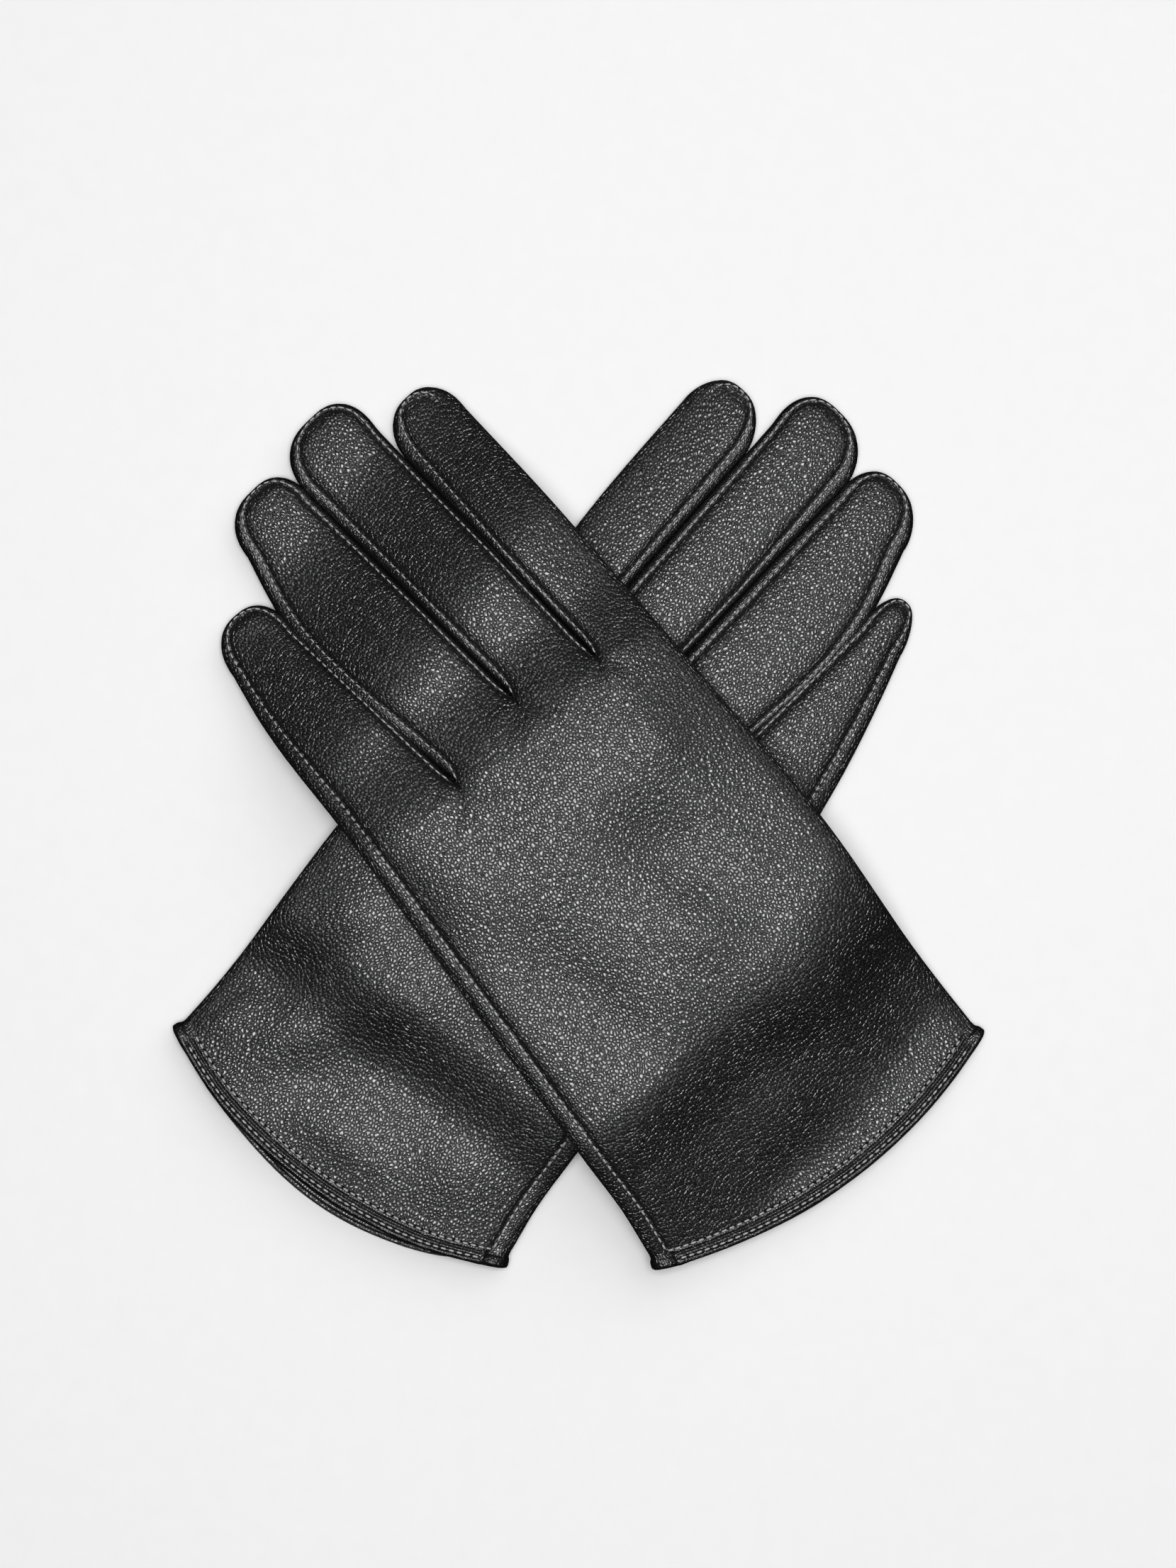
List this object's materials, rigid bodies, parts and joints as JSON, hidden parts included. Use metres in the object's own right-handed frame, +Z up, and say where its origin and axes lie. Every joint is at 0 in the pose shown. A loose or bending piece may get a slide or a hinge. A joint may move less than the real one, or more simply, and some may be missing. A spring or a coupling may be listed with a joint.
{
  "type": "leather gloves",
  "caption": "Pair of plain black leather dress gloves with wrist-length cuffs, lying back up and crossed, one across the other; fingers fold, thumbs swing and the upper glove lifts off.",
  "frame": {"origin": "centre of the pair's bounding box, on the surface that it lies on", "axes": "+Z up from that surface, +Y towards the side where all fingertips point, +X towards the right glove's fingertips"},
  "size_m": [0.2176, 0.2403, 0.0255],
  "materials": {
    "black_nappa": "satin, fine pebbled grain",
    "black_nappa_strips": "satin, fine grain",
    "black_lining": "matte knit"
  },
  "bodies": {
    "right_glove": {"right_trank_hand": "black_nappa", "right_hem_binding": "black_nappa", "right_fork_little_ring": "black_nappa_strips", "right_fork_ring_middle": "black_nappa_strips", "right_fork_middle_index": "black_nappa_strips", "right_lining_hand": "black_lining"},
    "right_little_finger": {"right_trank_little": "black_nappa", "right_lining_little": "black_lining", "right_fourchette_little_by_ring": "black_nappa_strips"},
    "right_ring_finger": {"right_trank_ring": "black_nappa", "right_lining_ring": "black_lining", "right_fourchette_ring_by_little": "black_nappa_strips", "right_fourchette_ring_by_middle": "black_nappa_strips"},
    "right_middle_finger": {"right_trank_middle": "black_nappa", "right_lining_middle": "black_lining", "right_fourchette_middle_by_ring": "black_nappa_strips", "right_fourchette_middle_by_index": "black_nappa_strips"},
    "right_index_finger": {"right_trank_index": "black_nappa", "right_lining_index": "black_lining", "right_fourchette_index_by_middle": "black_nappa_strips"},
    "right_thumb": {"right_thumb": "black_nappa", "right_lining_thumb": "black_lining"},
    "left_glove": {"left_trank_hand": "black_nappa", "left_hem_binding": "black_nappa", "left_fork_little_ring": "black_nappa_strips", "left_fork_ring_middle": "black_nappa_strips", "left_fork_middle_index": "black_nappa_strips", "left_lining_hand": "black_lining"},
    "left_little_finger": {"left_trank_little": "black_nappa", "left_lining_little": "black_lining", "left_fourchette_little_by_ring": "black_nappa_strips"},
    "left_ring_finger": {"left_trank_ring": "black_nappa", "left_lining_ring": "black_lining", "left_fourchette_ring_by_little": "black_nappa_strips", "left_fourchette_ring_by_middle": "black_nappa_strips"},
    "left_middle_finger": {"left_trank_middle": "black_nappa", "left_lining_middle": "black_lining", "left_fourchette_middle_by_ring": "black_nappa_strips", "left_fourchette_middle_by_index": "black_nappa_strips"},
    "left_index_finger": {"left_trank_index": "black_nappa", "left_lining_index": "black_lining", "left_fourchette_index_by_middle": "black_nappa_strips"},
    "left_thumb": {"left_thumb": "black_nappa", "left_lining_thumb": "black_lining"}
  },
  "joints": [
    {"name": "left_glove_lift", "type": "slide", "parent": "right_glove", "child": "left_glove", "axis": [0, 0, 1], "range_m": [0, 0.12]},
    {"name": "right_little_fold", "type": "hinge", "parent": "right_glove", "child": "right_little_finger", "pos_m": [0.06539, 0.02727, 0.0084], "axis": [0.7608, -0.649, 0], "range_deg": [0, 60]},
    {"name": "right_ring_fold", "type": "hinge", "parent": "right_glove", "child": "right_ring_finger", "pos_m": [0.05423, 0.05298, 0.0084], "axis": [0.7133, -0.7008, 0], "range_deg": [0, 60]},
    {"name": "right_middle_fold", "type": "hinge", "parent": "right_glove", "child": "right_middle_finger", "pos_m": [0.03589, 0.07172, 0.0084], "axis": [0.7156, -0.6986, 0], "range_deg": [0, 60]},
    {"name": "right_index_fold", "type": "hinge", "parent": "right_glove", "child": "right_index_finger", "pos_m": [0.01429, 0.07985, 0.0084], "axis": [0.7358, -0.6772, 0], "range_deg": [0, 60]},
    {"name": "right_thumb_swing", "type": "hinge", "parent": "right_glove", "child": "right_thumb", "pos_m": [-0.04469, -0.01607, 0.0019], "axis": [0, 0, 1], "range_deg": [0, 60]},
    {"name": "left_little_fold", "type": "hinge", "parent": "left_glove", "child": "left_little_finger", "pos_m": [-0.0661, 0.02673, 0.01896], "axis": [0.7593, 0.6479, 0.0609], "range_deg": [0, 60]},
    {"name": "left_ring_fold", "type": "hinge", "parent": "left_glove", "child": "left_ring_finger", "pos_m": [-0.05531, 0.05215, 0.0167], "axis": [0.7121, 0.7003, 0.0496], "range_deg": [0, 60]},
    {"name": "left_middle_fold", "type": "hinge", "parent": "left_glove", "child": "left_middle_finger", "pos_m": [-0.03707, 0.07081, 0.01778], "axis": [0.7144, 0.6981, 0.0475], "range_deg": [0, 60]},
    {"name": "left_index_fold", "type": "hinge", "parent": "left_glove", "child": "left_index_finger", "pos_m": [-0.01529, 0.07908, 0.02087], "axis": [0.7353, 0.6772, 0.0244], "range_deg": [0, 60]},
    {"name": "left_thumb_swing", "type": "hinge", "parent": "left_glove", "child": "left_thumb", "pos_m": [0.04469, -0.01607, 0.0148], "axis": [0, 0, -1], "range_deg": [0, 60]}
  ]
}
